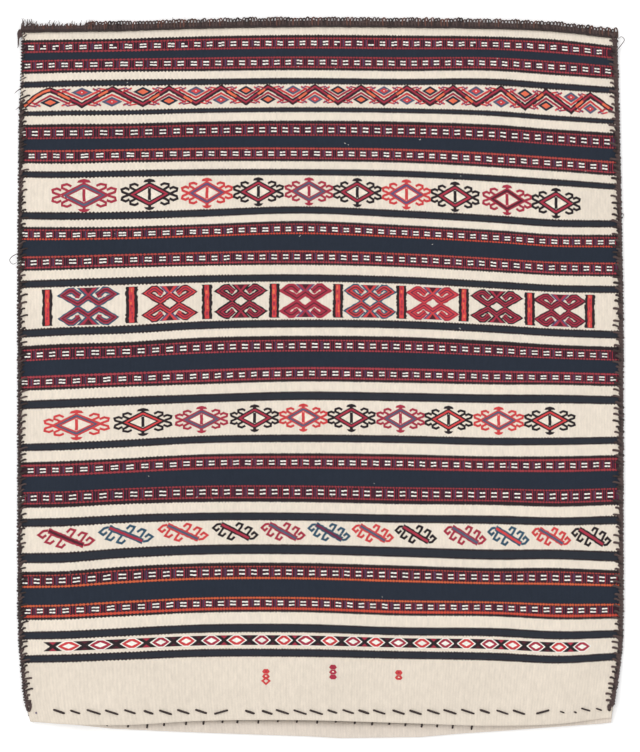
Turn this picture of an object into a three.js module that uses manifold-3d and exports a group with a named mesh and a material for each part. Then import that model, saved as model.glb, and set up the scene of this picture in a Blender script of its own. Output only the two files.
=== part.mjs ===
import * as THREE from 'three';
import { mergeVertices } from 'three/addons/utils/BufferGeometryUtils.js';
import Module from 'manifold-3d';

const wasm = await Module();
wasm.setup();

// Driving sizes, in millimetres. Y runs from the mouth to the base, Z is up.
const panelWidth = 602;
const panelLength = 696;
const cloth = 1.7;
const seamYarn = 1.3;
const hemThread = 1.0;
const clear = 0.3;
const hemDepth = 16;
const mouthGape = 4.6;
const gapeLength = 100;
const settleLength = 50;
const fieldRise = 0.3;
const navyRise = 0.5;
const motifRise = 0.6;
const edgeSlope = 0.35;

// Outline: how far the side edges stand in from the widest place
const leftInset = { base: 5, mouth: 7.5 };
const rightInset = { base: 7, mouth: 11 };
const baseTaper = 250;
const mouthTaper = 110;

// Bow of the weft: how far its two ends hang below its middle
const leftDroop = { base: 4, mouth: 7 };
const rightDroop = { base: 13, mouth: 4 };
const bowCentre = 0.46;
const lipDrop = 18;
const lipFade = 60;

// Spread of the warp, which is set wider towards the left edge
const spreadAmount = 0.141;
const spreadReach = 0.165;
const spreadTail = 0.054;

// Seams
const bindingCover = 5.2;
const bindingWall = 1.6;
const edgeRoom = 0.9;
const baseCover = 3;
const edgeFlat = 12;
const edgeRamp = 38;
const backRamp = 18;
const stitchPitch = 6.3;
const stitchReach = 5.5;
const stitchWidth = 1.8;
const stitchTip = 0.7;
const fringeLength = 5;
const fringePitch = 9;
const fringeGap = 2;
const fringeThickness = 2.6;
const knotRadius = 5;
const bindingStart = 8;

// Hem stitches
const runLength = 11;
const runGap = 5.6;
const runPlace = 9.5;
const runTilt = 3;
const runMargin = { left: 36, right: 20 };
const tickPitch = 18;
const tickLength = 5.5;
const tickPlace = 8;
const tickMargin = { left: 88, right: 150 };

// Woven stripes, from the base edge down: six sections of a striped border and a motif band
const baseStripe = 7.4;
const guardStripe = 2.4;
const redLine = 2.3;
const plainEnd = 63;
const sections = [
  { dots: 7.3, navy: 7.6, ivoryAbove: 7.7, lineAbove: 6.3, band: 23.1, lineBelow: 4.9, ivoryBelow: 8.5 },
  { dots: 7.8, navy: 11.2, ivoryAbove: 7.7, lineAbove: 6.3, band: 31, lineBelow: 7.3, ivoryBelow: 7.3 },
  { dots: 7.4, navy: 15.8, ivoryAbove: 9.4, lineAbove: 7.4, band: 37.9, lineBelow: 8, ivoryBelow: 8.2 },
  { dots: 7.9, navy: 15.1, ivoryAbove: 9.9, lineAbove: 8.7, band: 34.3, lineBelow: 7.7, ivoryBelow: 11 },
  { dots: 8.6, navy: 16.3, ivoryAbove: 10.4, lineAbove: 8.1, band: 23.8, lineBelow: 9.9, ivoryBelow: 8.4 },
  { dots: 8.5, navy: 17.1, ivoryAbove: 11.6, lineAbove: 8.6, band: 16.4, lineBelow: 8, ivoryBelow: 0 },
];

// Motifs: the share of the warp where the first stands, how many stand across, and their half sizes
const zigzag = { start: 0.0324, across: 12.05, halfWave: 7.2, halfRibbon: 2.6 };
const eye = { halfWidth: 0.22, halfHeight: 3.4 };
const hooked = [
  { start: 0.0771, across: 11.22, count: 10, halfWidth: 0.47, halfHeight: 13.4 },
  { start: 0.0686, across: 11.27, count: 10, halfWidth: 0.47, halfHeight: 13.6 },
];
const bars = { start: 0.0295, across: 8.75, count: 9, halfWidth: 0.075, halfHeight: 15.6 };
const crossed = { start: 0.0827, across: 8.69, count: 8, halfWidth: 0.4, halfHeight: 16 };
const comb = { start: 0.0558, across: 12.23, count: 12, halfWidth: 0.45, halfHeight: 9.4 };
const chain = { start: 0.0581, across: 24.16, count: 22, halfWidth: 0.33, halfHeight: 4.6 };
const smallMarks = { places: [0.36, 0.47, 0.585], fromChain: 34, halfWidth: 2.6, halfHeight: 6.5 };

// Levels worked out from the sizes above
const fold = cloth + clear;
const lift = seamYarn + clear;
const edgeLevel = lift + cloth + clear;
const mouthEdgeLevel = edgeLevel + 2 * fold;
const bodyLevel = lift + cloth + fold + clear + hemThread + mouthGape;
const mouthLevel = bodyLevel + hemThread + clear + fold;
const gapeEnd = hemDepth + gapeLength;
const edgeSettle = hemDepth + settleLength;
const reliefTop = cloth + Math.max(fieldRise, navyRise);
const edgeSpan = edgeFlat + edgeRamp;

// Places across the panels where its facets meet, as shares of the width
const rampStops = [0, edgeFlat, edgeSpan].map((d) => d / panelWidth);
const quarter = (rampStops[2] + 0.5) / 2;
const halfStops = [...rampStops, quarter, 0.5];
const stations = [...halfStops, ...halfStops.slice(0, -1).reverse().map((s) => 1 - s)];

// Distances from the lip where the facets meet
const lengthStops = [
  0,
  hemDepth,
  edgeSettle,
  gapeEnd,
  panelLength - baseTaper,
  panelLength - baseTaper / 2,
  panelLength - edgeSpan,
  panelLength - edgeFlat,
  panelLength,
];

function ease(from, to, at) {
  return THREE.MathUtils.smoothstep(at, Math.min(from, to), Math.max(from, to));
}

function ramp(from, to, at) {
  return THREE.MathUtils.clamp((at - from) / (to - from), 0, 1);
}

function mix(a, b, share) {
  return a + (b - a) * share;
}

// A smooth size as the facets hold it: straight between one stop and the next, and on past the ends
function faceted(stops, at, size) {
  const beyond = stops.slice(1, -1).filter((stop) => stop < at).length;
  const [from, to] = [stops[beyond], stops[beyond + 1]];
  return mix(size(from), size(to), (at - from) / (to - from));
}

function sideInset(inset, v) {
  return faceted(lengthStops, v, (at) => {
    const atBase = inset.base * ease(panelLength - baseTaper, panelLength, at);
    const atMouth = inset.mouth * (1 - ease(0, mouthTaper, at));
    return atBase + atMouth;
  });
}

function bow(f, v) {
  const held = THREE.MathUtils.clamp(v, 0, panelLength);
  return faceted(stations, f, (at) => bowAt(at, held));
}

function bowAt(f, v) {
  const along = v / panelLength;
  const left = mix(leftDroop.mouth, leftDroop.base, along);
  const right = mix(rightDroop.mouth, rightDroop.base, along);
  const away = f < bowCentre ? (bowCentre - f) / bowCentre : (f - bowCentre) / (1 - bowCentre);
  return -(f < bowCentre ? left : right) * away * away;
}

// A place on the cloth (share across, distance from the front lip) as X and Y
function place(f, v) {
  const left = -panelWidth / 2 + sideInset(leftInset, v);
  const right = panelWidth / 2 - sideInset(rightInset, v);
  return [mix(left, right, f), v + bow(f, v)];
}

// The back panel's lip hangs out below the front one, most in the middle
function placeBack(f, v) {
  const drop = faceted(stations, f, (at) => lipDrop * (1 - (2 * at - 1) ** 2));
  return place(f, v - drop * (1 - ramp(hemDepth, lipFade, v)));
}

// The share across at which a share of the warp lies
function spread(u) {
  const full = 1 + spreadAmount * (1 - Math.exp(-1 / spreadReach)) + spreadTail;
  return (u + spreadAmount * (1 - Math.exp(-u / spreadReach)) + spreadTail * u * u) / full;
}

function fromSide(f) {
  return Math.min(f, 1 - f) * panelWidth;
}

// Height of the front panel's underside
function frontLevel(f, v) {
  const mid = mix(mouthLevel, bodyLevel, ramp(hemDepth, gapeEnd, v));
  const low = mix(mouthEdgeLevel, edgeLevel, ramp(hemDepth, edgeSettle, v));
  const across = ramp(edgeFlat, edgeSpan, fromSide(f));
  const along = ramp(edgeFlat, edgeSpan, panelLength - v);
  return mix(low, mid, Math.min(across, along));
}

// Height of the back panel's underside
function backLevel(f, v) {
  const across = ramp(edgeFlat, edgeFlat + backRamp, fromSide(f));
  const atBase = ramp(edgeFlat, edgeFlat + backRamp, panelLength - v);
  const atMouth = ramp(hemDepth, hemDepth + backRamp, v);
  return lift * (1 - Math.min(across, atBase, atMouth));
}

// Geometry helpers
function bend(geometry, map) {
  const position = geometry.getAttribute('position');
  for (let i = 0; i < position.count; i += 1) {
    position.setXYZ(i, ...map(position.getX(i), position.getY(i), position.getZ(i)));
  }
  return geometry;
}

function solid(geometry) {
  const bare = new THREE.BufferGeometry();
  bare.setAttribute('position', geometry.getAttribute('position'));
  if (geometry.index) bare.setIndex(geometry.index);
  const merged = mergeVertices(bare, 1e-4);
  const corners = new Uint32Array(merged.index.array);
  const position = merged.getAttribute('position');
  if (signedVolume(position, corners) < 0) corners.reverse();
  return new wasm.Manifold(new wasm.Mesh({
    numProp: 3,
    vertProperties: new Float32Array(position.array),
    triVerts: corners,
  }));
}

function signedVolume(position, corners) {
  const [a, b, c] = [new THREE.Vector3(), new THREE.Vector3(), new THREE.Vector3()];
  let six = 0;
  for (let i = 0; i < corners.length; i += 3) {
    a.fromBufferAttribute(position, corners[i]);
    b.fromBufferAttribute(position, corners[i + 1]);
    c.fromBufferAttribute(position, corners[i + 2]);
    six += a.dot(b.cross(c));
  }
  return six;
}

const simplifyWithin = 0.01;

function union(solids) {
  return wasm.Manifold.union(solids);
}

function geometryOf(made, within) {
  const mesh = (within ? made.asOriginal().simplify(within) : made).getMesh();
  const geometry = new THREE.BufferGeometry();
  geometry.setAttribute('position', new THREE.BufferAttribute(new Float32Array(mesh.vertProperties), 3));
  geometry.setIndex(new THREE.BufferAttribute(new Uint32Array(mesh.triVerts), 1));
  geometry.computeVertexNormals();
  return geometry;
}

function shapeOf(points, holes = []) {
  const lines = [points, ...holes].map((line) => line.map(([x, y]) => new THREE.Vector2(x, y)));
  const [outline, ...inner] = lines;
  if (THREE.ShapeUtils.isClockWise(outline)) outline.reverse();
  const shape = new THREE.Shape(outline);
  shape.holes = inner.map((line) => new THREE.Path(line));
  return shape;
}

// A section drawn as (distance from the lip, height), run across the cloth through its stations
function acrossCloth(points, stops, map) {
  const steps = stops.length - 1;
  const geometry = new THREE.ExtrudeGeometry(shapeOf(points), { depth: steps, steps, bevelEnabled: false });
  return bend(geometry, (v, z, step) => map(stops[Math.round(step)], v, z));
}

// A flat outline drawn on the cloth and raised between two heights
function onCloth(points, holes, low, high, map) {
  const geometry = new THREE.ExtrudeGeometry(shapeOf(points, holes), {
    depth: high - low,
    bevelEnabled: false,
  });
  return bend(geometry, (x, y, z) => map(x, y, z + low));
}

function borderWidth(s) {
  return 2 * guardStripe + 4 * redLine + 2 * s.dots + s.navy;
}

function sectionLength(s) {
  return borderWidth(s) + s.ivoryAbove + s.lineAbove + s.band + s.lineBelow + s.ivoryBelow;
}

// The stripes are woven wider or narrower together, so that they fill the panel down to its plain end
const stripeRoom = panelLength - baseCover - baseStripe - plainEnd;
const weaveShare = stripeRoom / sections.reduce((sum, s) => sum + sectionLength(s), 0);

// Down the front panel: raised fields of colour, the navy stripe inside a border, and the motif bands
function layOutStripes() {
  const fields = [];
  const bands = [];
  let v = panelLength - baseCover - baseStripe;
  const skip = (width) => {
    const top = v;
    v -= width * weaveShare;
    return { top, bottom: v };
  };
  const field = (width, inner = 0) => {
    const { top, bottom } = skip(width);
    const margin = ((width - inner) * weaveShare) / 2;
    fields.push({ top, bottom, navy: inner ? [top - margin, bottom + margin] : [] });
  };
  for (const s of sections) {
    field(borderWidth(s), s.navy);
    skip(s.ivoryAbove);
    field(s.lineAbove);
    bands.push(skip(s.band));
    field(s.lineBelow);
    skip(s.ivoryBelow);
  }
  return { fields, bands };
}

const { fields, bands } = layOutStripes();

// The top of the front panel's section, from the base down to the lip
function stripeProfile() {
  const low = cloth;
  const middle = cloth + fieldRise;
  const high = cloth + navyRise;
  return fields.flatMap(({ top, bottom, navy }) => [
    [top, low],
    [top - edgeSlope, middle],
    ...navy.flatMap((v, i) => [
      [v + edgeSlope / 2, i ? high : middle],
      [v - edgeSlope / 2, i ? middle : high],
    ]),
    [bottom + edgeSlope, middle],
    [bottom, low],
  ]);
}

// The stripe profile with a point added at each length stop, at the height it has there
function withStops(points) {
  const added = lengthStops.slice(2, -1).flatMap((v) => {
    const next = points.findIndex(([at]) => at <= v);
    if (next < 0) return [[v, cloth]];
    if (next === 0 || points[next][0] === v) return next ? [] : [[v, cloth]];
    const [[from, low], [to, high]] = [points[next - 1], points[next]];
    return [[v, mix(low, high, (v - from) / (to - from))]];
  });
  return [...points, ...added].sort(([a], [b]) => b - a);
}

// The front lip: the cloth turns under and lies along its own underside
function frontSection() {
  const under = -fold;
  const round = (cloth - under) / 2;
  return [
    [panelLength, 0],
    [panelLength, cloth],
    ...withStops(stripeProfile()),
    [hemDepth, cloth],
    [round, cloth],
    [0, mix(cloth, under, 0.3)],
    [0, mix(cloth, under, 0.7)],
    [round, under],
    [hemDepth, under],
    [hemDepth, -clear],
    [round, -clear],
    [round, 0],
    ...lengthStops.slice(1, -1).map((v) => [v, 0]),
  ];
}

function frontMap(f, v, z) {
  const [x, y] = place(f, v);
  return [x, y, frontLevel(f, v) + z];
}

// Motif outlines, drawn in a square from -1 to 1
function mirrored(quarter) {
  const flipX = quarter.map(([x, y]) => [-x, y]).reverse();
  const upper = [...flipX, ...quarter];
  return [...upper, ...upper.map(([x, y]) => [-x, -y])];
}

const hookedOutline = mirrored([
  [0.15, 1], [0.06, 0.66], [0.36, 0.42], [0.42, 0.78],
  [0.69, 0.58], [0.58, 0.24], [1, 0.38], [0.8, 0.05],
]);
const hookedHole = [[-0.33, 0], [0, -0.36], [0.33, 0], [0, 0.36]];
const crossedOutline = mirrored([[0.6, 1], [1, 0.62], [0.42, 0.04]]);
const crossedHoles = [
  [[-0.25, 0], [0, -0.2], [0.25, 0], [0, 0.2]],
  ...[[1, 1], [-1, 1], [-1, -1], [1, -1]].map(([sx, sy]) =>
    [[0.55 * sx, 0.62 * sy], [0.18 * sx, 0.57 * sy], [0.38 * sx, 0.28 * sy]]),
];
const barOutline = [[-1, -1], [1, -1], [1, 1], [-1, 1]];
const diamondOutline = [[-1, 0], [0, -1], [1, 0], [0, 1]];
const smallDiamond = diamondOutline.map(([x, y]) => [x * 0.42, y * 0.42]);
const bowTie = [[-0.62, -0.8], [0.62, -0.8], [0.2, 0.05], [0.62, 0.8], [-0.62, 0.8], [-0.2, -0.05]];
const markOutline = [[0, -1], [1, -0.55], [0.3, 0], [1, 0.55], [0, 1], [-1, 0.55], [-0.3, 0], [-1, -0.55]];

function combOutline() {
  const teeth = [0, 1, 2].flatMap((i) => [
    [-0.16 + 0.34 * i, 0.46 - 0.5 * i],
    [-0.04 + 0.34 * i, 1 - 0.5 * i],
    [0.26 + 0.34 * i, 0.7 - 0.5 * i],
  ]);
  const upper = [[-0.4, 0.95], ...teeth];
  return [...upper, ...upper.map(([x, y]) => [-x, -y])];
}

const tall = 40;

function motif(outline, holes, u, halfU, v, halfV) {
  const map = (x, y, z) => {
    const at = place(spread(u + x * halfU), v + y * halfV);
    return [...at, z];
  };
  return solid(onCloth(outline, holes, -tall, tall, map));
}

function row({ start, across, count, halfWidth, halfHeight }, v, outline, holes) {
  const step = 1 / across;
  return Array.from({ length: count }, (_, k) =>
    motif(outline, holes, start + k * step, halfWidth * step, v, halfHeight));
}

function zigzagBand(v) {
  const step = 1 / (2 * zigzag.across);
  const count = Math.floor((1 - 2 * zigzag.start) / step) + 1;
  const centres = Array.from({ length: count + 1 }, (_, k) => [
    zigzag.start + (k - 0.4) * step,
    (k % 2 ? -1 : 1) * zigzag.halfWave,
  ]);
  const shift = ([u, y], by) => [u, y + by];
  const ribbon = [
    ...centres.map((p) => shift(p, -zigzag.halfRibbon)),
    ...centres.map((p) => shift(p, zigzag.halfRibbon)).reverse(),
  ];
  const map = (u, y, z) => [...place(spread(u), v + y), z];
  const halfU = eye.halfWidth * 2 * step;
  const eyes = centres.slice(1, -1).map(([u, y]) => {
    const at = v - Math.sign(y) * (zigzag.halfWave - 1);
    return motif(diamondOutline, [], u, halfU, at, eye.halfHeight);
  });
  return [solid(onCloth(ribbon, [], -tall, tall, map)), ...eyes];
}

function chainBand(v) {
  const ties = { ...chain, start: chain.start - 0.5 / chain.across, count: chain.count + 1 };
  ties.halfWidth = 0.5;
  return [...row(chain, v, diamondOutline, [smallDiamond]), ...row(ties, v, bowTie, [])];
}

function smallMarkRow(v) {
  const halfU = smallMarks.halfWidth / panelWidth;
  return smallMarks.places.map((u) => motif(markOutline, [], u, halfU, v, smallMarks.halfHeight));
}

// A thin skin just above the cloth, which the tall outlines are cut down to
function skin(top, bottom) {
  const section = [[bottom, cloth / 2], [top, cloth / 2], [top, cloth + motifRise], [bottom, cloth + motifRise]];
  return solid(acrossCloth(section, stations, frontMap));
}

function motifs() {
  const centre = (i) => (bands[i].top + bands[i].bottom) / 2;
  const rows = [
    { band: bands[0], solids: zigzagBand(centre(0)) },
    { band: bands[1], solids: row(hooked[0], centre(1), hookedOutline, [hookedHole]) },
    {
      band: bands[2],
      solids: [
        ...row(bars, centre(2), barOutline, []),
        ...row(crossed, centre(2), crossedOutline, crossedHoles),
      ],
    },
    { band: bands[3], solids: row(hooked[1], centre(3), hookedOutline, [hookedHole]) },
    { band: bands[4], solids: row(comb, centre(4), combOutline(), []) },
    { band: bands[5], solids: chainBand(centre(5)) },
    {
      band: { top: centre(5) - smallMarks.fromChain + 10, bottom: centre(5) - smallMarks.fromChain - 10 },
      solids: smallMarkRow(centre(5) - smallMarks.fromChain),
    },
  ];
  return union(rows.map(({ band, solids }) => union(solids).intersect(skin(band.top, band.bottom))));
}

// Stitch places along the hems, as [middle, half length] in shares across
function runs() {
  const room = panelWidth - runMargin.left - runMargin.right;
  const pitch = runLength + runGap;
  const count = Math.floor((room + runGap) / pitch);
  return Array.from({ length: count }, (_, k) => [
    (runMargin.left + runLength / 2 + k * pitch) / panelWidth,
    runLength / 2 / panelWidth,
  ]);
}

function ticks() {
  const room = panelWidth - tickMargin.left - tickMargin.right;
  const count = Math.floor(room / tickPitch) + 1;
  return Array.from({ length: count }, (_, k) => (tickMargin.left + k * tickPitch) / panelWidth);
}

const runStitches = runs();
const tickStitches = ticks();
const hole = hemThread + 2 * clear;

// A square hole through the cloth at a place on it
function pierce(f, v, map) {
  const half = hole / 2;
  const box = new THREE.BoxGeometry(hole / panelWidth, hole, tall);
  return solid(bend(box, (x, y, z) => map(f + (x > 0 ? half : -half) / panelWidth, v + y, z)));
}

function runEnds() {
  const inset = (hemThread / 2) / panelWidth;
  return runStitches.flatMap(([f, half]) => [
    { f: f - half + inset, v: runPlace + runTilt / 2 },
    { f: f + half - inset, v: runPlace - runTilt / 2 },
  ]);
}

// A panel is run a little past its side edges, then cut off along them
function panelSolid(section, map) {
  const past = (2 * Math.max(...Object.values(leftInset), ...Object.values(rightInset))) / panelWidth;
  return solid(acrossCloth(section, [-past, ...stations.slice(1, -1), 1 + past], map));
}

function cutToEdges(made) {
  const side = [-panelLength, ...lengthStops, 2 * panelLength];
  const outline = [...side.map((v) => [0, v]), ...side.map((v) => [1, v]).reverse()];
  const keep = onCloth(outline, [], -tall, tall, (f, v, z) => [...place(f, v), z]);
  return made.intersect(solid(keep));
}

function frontPanel() {
  const base = panelSolid(frontSection(), frontMap);
  const holes = runEnds().map(({ f, v }) => pierce(f, v, frontMap));
  return cutToEdges(base.add(motifs()).subtract(union(holes)));
}

function backMap(f, v, z) {
  const [x, y] = placeBack(f, v);
  return [x, y, backLevel(f, v) + z];
}

const backStops = [...lengthStops.slice(1), hemDepth + backRamp, lipFade, panelLength - edgeFlat - backRamp]
  .sort((a, b) => a - b);

// The back lip turns up and lies along the panel's inner side
function backSection() {
  const over = fold + cloth;
  const round = over / 2;
  return [
    ...[...backStops].reverse().map((v) => [v, cloth]),
    [round, cloth],
    [round, cloth + clear],
    [hemDepth, cloth + clear],
    [hemDepth, over],
    [round, over],
    [0, mix(0, over, 0.7)],
    [0, mix(0, over, 0.3)],
    [round, 0],
    ...backStops.map((v) => [v, 0]),
  ];
}

function tickEnds() {
  return tickStitches.map((f) => ({
    f,
    low: tickPlace - tickLength / 2 + hemThread / 2,
    high: tickPlace + tickLength / 2 - hemThread / 2,
  }));
}

function backPanel() {
  const base = panelSolid(backSection(), backMap);
  const holes = tickEnds().flatMap(({ f, low, high }) => [pierce(f, low, backMap), pierce(f, high, backMap)]);
  return cutToEdges(base.subtract(union(holes)));
}

// The running thread of the front hem: over the cloth at each stitch and under it between them
function frontHemThread() {
  const over = cloth + clear;
  const under = -fold - clear;
  const half = hemThread / panelWidth;
  const ends = runEnds();
  const upper = ends.flatMap(({ f }, i) => (i % 2
    ? [[f + half / 2, over + hemThread], [f + half / 2, under]]
    : [[f - half / 2, under], [f - half / 2, over + hemThread]]));
  const lower = ends.flatMap(({ f }, i) => (i % 2
    ? [[f - half / 2, over], [f - half / 2, under - hemThread]]
    : [[f + half / 2, under - hemThread], [f + half / 2, over]]));
  const outline = [...upper.slice(1, -1), ...lower.slice(1, -1).reverse()];
  return threadAlong(outline, ends);
}

function threadAlong(outline, ends) {
  const geometry = onCloth(outline, [], -hemThread / 2, hemThread / 2, (f, z, v) => {
    const nearest = ends.reduce((best, end) => (Math.abs(end.f - f) < Math.abs(best.f - f) ? end : best));
    return frontMap(f, nearest.v + v, z);
  });
  return solid(geometry);
}

// A square rod between two places on the back panel, between two heights over its underside
function backRod(from, to, low, high) {
  const box = new THREE.BoxGeometry(1, 1, 1);
  const half = hemThread / 2;
  const along = Math.abs(to.f - from.f) * panelWidth > hemThread;
  return solid(bend(box, (x, y, z) => {
    const end = (along ? x : y) > 0 ? to : from;
    const f = end.f + (2 * x * half) / panelWidth;
    return backMap(f, end.v + 2 * y * half, z > 0 ? high : low);
  }));
}

// The slip thread of the back hem: a short tick over the hem at each stitch, a slanting run under it
function backHemThread() {
  const over = cloth + fold + clear;
  const rods = [];
  tickEnds().forEach(({ f, low, high }, i, all) => {
    const bottom = { f, v: low };
    const top = { f, v: high };
    rods.push(backRod(bottom, top, over, over + hemThread));
    rods.push(backRod(bottom, bottom, -clear - hemThread, over + hemThread));
    rods.push(backRod(top, top, -clear - hemThread, over + hemThread));
    const next = all[i + 1];
    if (next) rods.push(backRod(top, { f: next.f, v: next.low }, -clear - hemThread, -clear));
  });
  return union(rods);
}

// Side binding: yarn sewn round both panel edges, with stitch legs over the front panel
function sideBinding(side) {
  const armTop = edgeLevel + reliefTop + clear;
  const height = armTop + seamYarn;
  const corner = bindingWall * 0.6;
  const outside = edgeRoom + bindingWall;
  const section = [
    [bindingCover, 0],
    [corner - outside, 0],
    [-outside, corner],
    [-outside, height - corner],
    [corner - outside, height],
    [bindingCover, height],
    [bindingCover, armTop],
    [-edgeRoom, armTop],
    [-edgeRoom, lift - clear],
    [bindingCover, lift - clear],
  ];
  const stops = [bindingStart, ...lengthStops.slice(1, -1), panelLength + bindingWall];
  const map = (inward, v, z) => {
    const f = side < 0 ? inward / panelWidth : 1 - inward / panelWidth;
    const grow = z > edgeLevel ? frontLevel(0, v) - edgeLevel : 0;
    const [x, y] = place(f, v);
    return [x, y, z + grow];
  };
  const rod = acrossCloth(section, stops, (v, inward, z) => map(inward, v, z));
  return union([solid(rod), ...legs(map, armTop), knot(map, height)]);
}

function legs(map, armTop) {
  const last = panelLength - baseCover - bindingCover - stitchWidth;
  const count = Math.floor((last - hemDepth) / stitchPitch);
  const root = bindingCover / 2;
  const tip = bindingCover + stitchReach;
  const outline = [
    [root, -stitchWidth / 2], [tip, -stitchTip / 2], [tip, stitchTip / 2], [root, stitchWidth / 2],
  ];
  return Array.from({ length: count }, (_, k) => {
    const v = hemDepth + k * stitchPitch;
    return solid(onCloth(outline, [], armTop, armTop + seamYarn * 0.8, (x, y, z) => map(x, v + y, z)));
  });
}

function knot(map, height) {
  const ball = new THREE.SphereGeometry(knotRadius, 8, 6);
  const inward = bindingCover / 2;
  const v = bindingStart + knotRadius;
  const middle = height - seamYarn * 0.8 + knotRadius / 2;
  return solid(bend(ball, (x, y, z) => map(inward + x, v + y, middle + z / 2)));
}

// Base binding: yarn sewn round both base edges, with a short thick fringe outside it
function baseBinding() {
  const armTop = edgeLevel + reliefTop + clear;
  const height = armTop + seamYarn;
  const outer = panelLength + bindingWall;
  const inner = panelLength - baseCover;
  const tip = outer + fringeLength;
  const low = (height - fringeThickness) / 2;
  const section = [
    [inner, 0],
    [outer, 0],
    [tip, low],
    [tip, low + fringeThickness],
    [outer, height],
    [inner, height],
    [inner, armTop],
    [panelLength + clear, armTop],
    [panelLength + clear, lift - clear],
    [inner, lift - clear],
  ];
  const { stops, valleys } = fringeStops();
  const reach = (f, v) => (valleys.has(f) ? Math.min(v, outer + fringeGap / 2) : v);
  return solid(acrossCloth(section, stops, (f, v, z) => [...place(f, reach(f, v)), z]));
}

// Each tooth of the fringe stands on four stops: its two feet in the valleys and its two corners
function fringeStops() {
  const end = (bindingCover + 2 * clear) / panelWidth;
  const count = Math.round(((1 - 2 * end) * panelWidth) / fringePitch);
  const pitch = (1 - 2 * end) / count;
  const gap = fringeGap / panelWidth;
  const teeth = Array.from({ length: count }, (_, k) => end + k * pitch);
  const feet = teeth.flatMap((f) => [f, f + pitch - gap / 2]);
  const corners = teeth.flatMap((f) => [f + gap / 2, f + pitch - gap]);
  const valleys = new Set([...feet, 1 - end]);
  return { stops: [...valleys, ...corners].sort((a, b) => a - b), valleys };
}

// Materials
function wool(color, roughness) {
  return new THREE.MeshStandardMaterial({ color, roughness, metalness: 0 });
}

const ivoryCloth = wool(0xe6dccb, 0.95);
const kilimCloth = wool(0xa8504a, 0.95);
const brownYarn = wool(0x4a3a34, 0.9);
const darkThread = wool(0x3a302c, 0.9);

function part(name, made, material, within = simplifyWithin) {
  const mesh = new THREE.Mesh(geometryOf(made, within), material);
  mesh.name = name;
  return mesh;
}

const bag = new THREE.Group();
bag.add(
  part('front_panel', frontPanel(), kilimCloth),
  part('back_panel', backPanel(), ivoryCloth),
  part('left_side_binding', sideBinding(-1), brownYarn),
  part('right_side_binding', sideBinding(1), brownYarn),
  part('base_binding', baseBinding(), brownYarn, 0),
  part('front_hem_thread', frontHemThread(), darkThread),
  part('back_hem_thread', backHemThread(), darkThread),
);

// The frame's origin is the middle of the underside
const box = new THREE.Box3().setFromObject(bag);
bag.position.set(-(box.min.x + box.max.x) / 2, -(box.min.y + box.max.y) / 2, -box.min.z);

export default bag;
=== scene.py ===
import math
import random

import bpy
import numpy as np
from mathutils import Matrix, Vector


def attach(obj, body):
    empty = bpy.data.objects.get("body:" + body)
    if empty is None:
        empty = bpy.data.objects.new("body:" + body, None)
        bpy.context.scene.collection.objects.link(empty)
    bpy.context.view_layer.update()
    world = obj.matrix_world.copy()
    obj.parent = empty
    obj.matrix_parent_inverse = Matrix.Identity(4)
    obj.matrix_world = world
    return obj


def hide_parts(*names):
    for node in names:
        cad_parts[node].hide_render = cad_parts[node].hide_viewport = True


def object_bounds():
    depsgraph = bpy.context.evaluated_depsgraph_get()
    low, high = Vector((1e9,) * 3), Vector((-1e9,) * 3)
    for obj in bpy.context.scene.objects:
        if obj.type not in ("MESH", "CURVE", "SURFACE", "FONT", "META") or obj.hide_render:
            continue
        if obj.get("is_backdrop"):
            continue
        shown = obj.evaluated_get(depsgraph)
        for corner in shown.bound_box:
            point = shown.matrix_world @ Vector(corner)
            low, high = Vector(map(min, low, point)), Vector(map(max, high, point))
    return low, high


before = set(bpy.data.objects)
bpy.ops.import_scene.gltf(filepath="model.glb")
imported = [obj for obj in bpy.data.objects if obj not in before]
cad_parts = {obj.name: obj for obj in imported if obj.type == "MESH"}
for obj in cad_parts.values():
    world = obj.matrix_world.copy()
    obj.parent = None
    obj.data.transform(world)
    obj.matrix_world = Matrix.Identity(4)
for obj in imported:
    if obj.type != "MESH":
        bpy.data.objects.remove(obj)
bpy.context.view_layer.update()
rng = random.Random(7)

# Lengths are in millimetres on the photo's grid: x to the right, s down the cloth at its middle.
MM = 0.001
ORIGIN_X, ORIGIN_Y = 320.5, 377.7  # the part's own origin on that grid
LEFT, RIGHT = 18.8, 622.2  # nominal side edges
BASE, LIP, HEM = 26.0, 720.0, 16.0
CLOTH = 1.7  # thickness
HEM_GAP = 0.3  # between the panel and its turned hem
FOLD = CLOTH + HEM_GAP / 2  # radius of the hem's fold
BEAD = 1.3  # length of one weft bead along a rib
FLUTE = 0.27  # height of a rib
RIB_ABOVE = 0.4  # share of it above the cloth's face

# Yarn colours, as red, green and blue out of 255
YARN = {
    "ivory": (238, 226, 210),
    # The plain end and the plain back are a little darker than the ivory
    "plain end": (232, 220, 204),
    "plain back": (231, 219, 206),
    "navy": (40, 47, 59),
    "blue black": (46, 50, 58),
    "black": (46, 38, 41),
    "dark plum": (60, 38, 46),
    "maroon": (84, 40, 50),
    "madder": (160, 63, 70),
    "rose": (170, 68, 77),
    "brick": (183, 78, 71),
    "flame": (205, 80, 62),
    "apricot": (210, 100, 67),
    "crimson": (168, 54, 72),
    "red": (208, 70, 72),
    "orange": (228, 112, 82),
    "violet": (98, 84, 118),
    "slate": (88, 94, 116),
    "teal": (58, 88, 108),
    "plum": (112, 46, 72),
    "white": (246, 242, 234),
    "wool": (86, 71, 69),
    "dark wool": (62, 52, 51),
    "brown": (92, 72, 66),
    "rust": (108, 76, 68),
}


def linear(yarn):
    """A yarn's colour in linear light."""
    shares = [c / 255 for c in YARN[yarn]]
    return tuple(c / 12.92 if c <= 0.04045 else ((c + 0.055) / 1.055) ** 2.4 for c in shares)


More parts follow.
